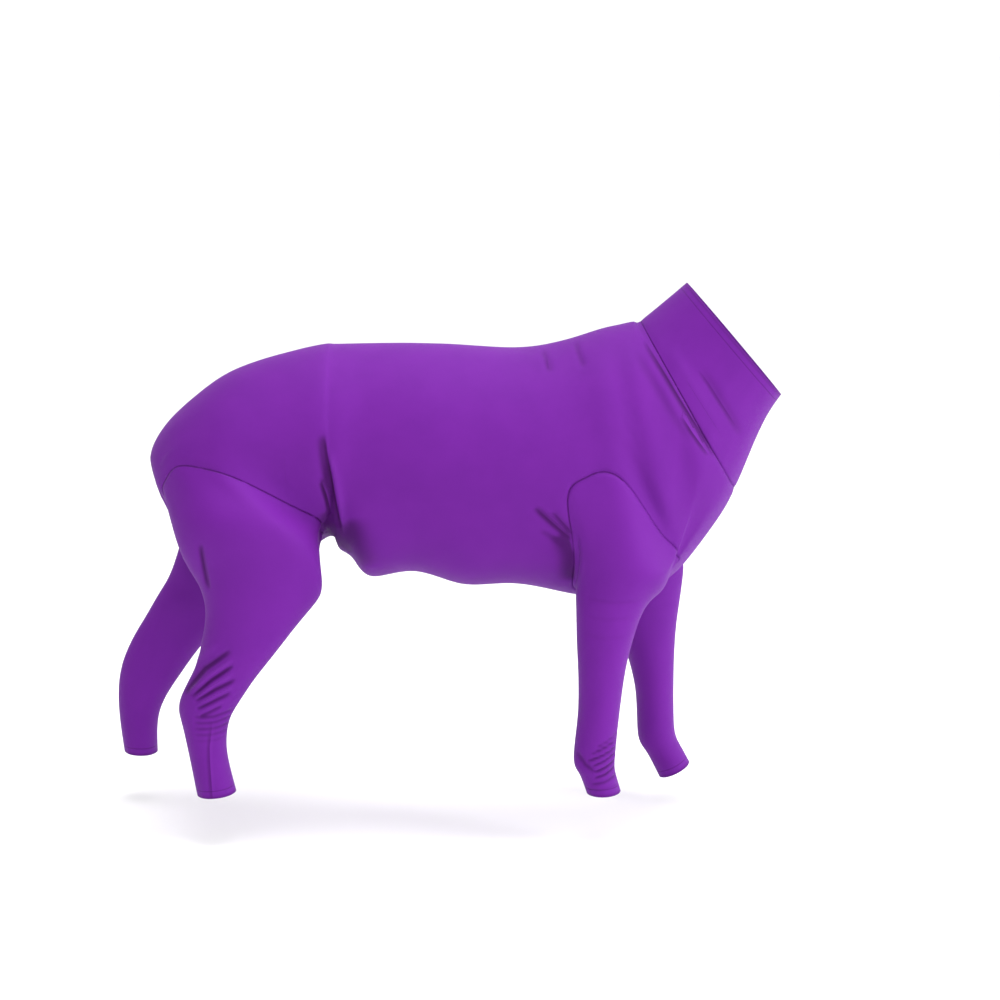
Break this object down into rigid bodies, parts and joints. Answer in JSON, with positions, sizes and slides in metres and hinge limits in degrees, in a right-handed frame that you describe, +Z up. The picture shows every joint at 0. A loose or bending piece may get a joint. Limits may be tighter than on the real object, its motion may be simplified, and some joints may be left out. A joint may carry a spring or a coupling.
{
  "type": "dog jumpsuit",
  "caption": "Full-body dog jumpsuit in thin stretch knit, held in its worn form: a trunk with a high neck, an opening for the tail and long hemmed sleeves for the legs.",
  "frame": {"origin": "on the inner face of the back at the withers, where the wearer's back carries the cloth", "axes": "+X towards the neck, +Y towards the wearer's left, +Z up"},
  "size_m": [0.7777, 0.257, 0.6083],
  "materials": {
    "knit": "matt purple stretch knit with a faint sheen"
  },
  "bodies": {
    "root": {"trunk": "knit", "turtleneck": "knit", "front_leg_right": "knit", "front_leg_left": "knit", "hind_leg_right": "knit", "hind_leg_left": "knit"}
  },
  "joints": []
}
